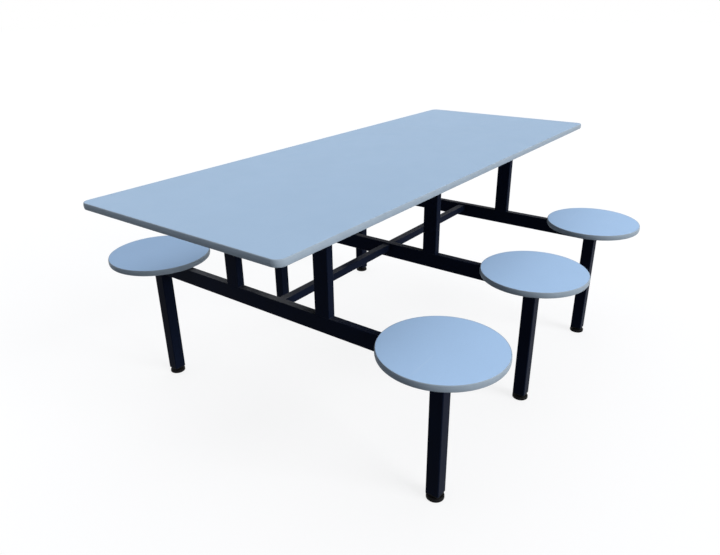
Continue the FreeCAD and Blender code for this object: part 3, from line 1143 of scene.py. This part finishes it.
def white_surroundings(stage):
    """A world that is seen as white and gives a faint cool light from all round."""
    world = bpy.data.worlds.new("white_surroundings")
    world.use_nodes = True
    tree = world.node_tree
    seen = seen_white(tree)
    connect(tree.nodes["Background"], {
        "Strength": remap(seen, 0.0, 1.0, stage.ambient, 1.0),
        "Color": blend(seen, rgba(stage.ambient_colour), rgba((1.0, 1.0, 1.0))),
    })
    return world


def soft_sun(name, towards, strength, width):
    """Sets a broad lamp in a direction, where a strength of 1 shows a facing colour as written."""
    lamp = bpy.data.lights.new(name, "SUN")
    lamp.energy = strength * math.pi
    lamp.angle = width
    made = new_object(name, lamp)
    made.rotation_mode = "QUATERNION"
    made.rotation_quaternion = Vector(towards).to_track_quat("Z", "Y")


def main_camera(stage):
    """The camera of the main view."""
    azimuth, elevation = stage.camera_azimuth, stage.camera_elevation
    back = Vector((math.sin(azimuth) * math.cos(elevation), -math.cos(azimuth) * math.cos(elevation),
                   math.sin(elevation)))
    lens = bpy.data.cameras.new("camera")
    lens.sensor_width = stage.camera_sensor
    lens.lens = stage.camera_lens
    camera = new_object("camera", lens)
    camera.rotation_mode = "QUATERNION"
    camera.rotation_quaternion = back.to_track_quat("Z", "Y") @ Quaternion((0, 0, 1), -stage.camera_roll)
    camera.location = stage.camera_place
    return camera


class CANTEEN_OT_stage(bpy.types.Operator):
    """Lay the floor, set the lamps and the white surroundings, and place the camera"""

    bl_idname = "canteen.stage"
    bl_label = "Stage"

    def execute(self, context):
        scene = context.scene
        stage = scene.canteen_stage
        scene.view_settings.view_transform = "Standard"
        corners = at_height(around([(stage.floor_half, stage.floor_half)], 4), 0.0)
        floor = bpy.data.meshes.new("floor")
        floor.from_pydata(corners, [], [(0, 1, 2, 3)])
        floor.materials.append(pale_floor(stage))
        new_object("floor", floor)
        scene.world = white_surroundings(stage)
        soft_sun("top_light", stage.top_from, stage.top_strength, stage.top_spread)
        soft_sun("side_light", stage.side_from, stage.side_strength, stage.side_spread)
        scene.camera = main_camera(stage)
        return {"FINISHED"}


# Panel and registration


class CANTEEN_PT_table(bpy.types.Panel):
    """The table's settings and the operators that make its pieces"""

    bl_idname = "CANTEEN_PT_table"
    bl_label = "Canteen table"
    bl_space_type = "VIEW_3D"
    bl_region_type = "UI"
    bl_category = "Canteen table"

    def draw(self, context):
        for group, (_, operators) in GROUPS.items():
            box = self.layout.box()
            settings = getattr(context.scene, group)
            for name in type(settings).__annotations__:
                box.prop(settings, name)
            for operator in operators:
                box.operator(operator)


GROUPS = {
    "canteen_finish": (FinishSettings, ["canteen.boards", "canteen.swivels"]),
    "canteen_band": (BandSettings, ["canteen.edge_bands"]),
    "canteen_weld": (WeldSettings, ["canteen.tube_frame"]),
    "canteen_fastener": (FastenerSettings, ["canteen.screws"]),
    "canteen_foot": (FootSettings, ["canteen.feet"]),
    "canteen_stage": (StageSettings, ["canteen.stage"]),
}
CLASSES = [
    *[settings for settings, _ in GROUPS.values()],
    CANTEEN_OT_boards,
    CANTEEN_OT_edge_bands,
    CANTEEN_OT_tube_frame,
    CANTEEN_OT_swivels,
    CANTEEN_OT_screws,
    CANTEEN_OT_feet,
    CANTEEN_OT_stage,
    CANTEEN_PT_table,
]


def register():
    """Registers the classes and hangs the settings on the scene."""
    for item in CLASSES:
        bpy.utils.register_class(item)
    for name, (settings, _) in GROUPS.items():
        setattr(bpy.types.Scene, name, PointerProperty(type=settings))


def unregister():
    """Takes the settings off the scene and unregisters the classes."""
    for name in GROUPS:
        delattr(bpy.types.Scene, name)
    for item in reversed(CLASSES):
        bpy.utils.unregister_class(item)


def main():
    """Makes every piece in order."""
    register()
    bpy.ops.canteen.boards()
    bpy.ops.canteen.edge_bands()
    bpy.ops.canteen.tube_frame()
    bpy.ops.canteen.swivels()
    bpy.ops.canteen.screws()
    bpy.ops.canteen.feet()
    bpy.ops.canteen.stage()


if __name__ == "__main__":
    main()
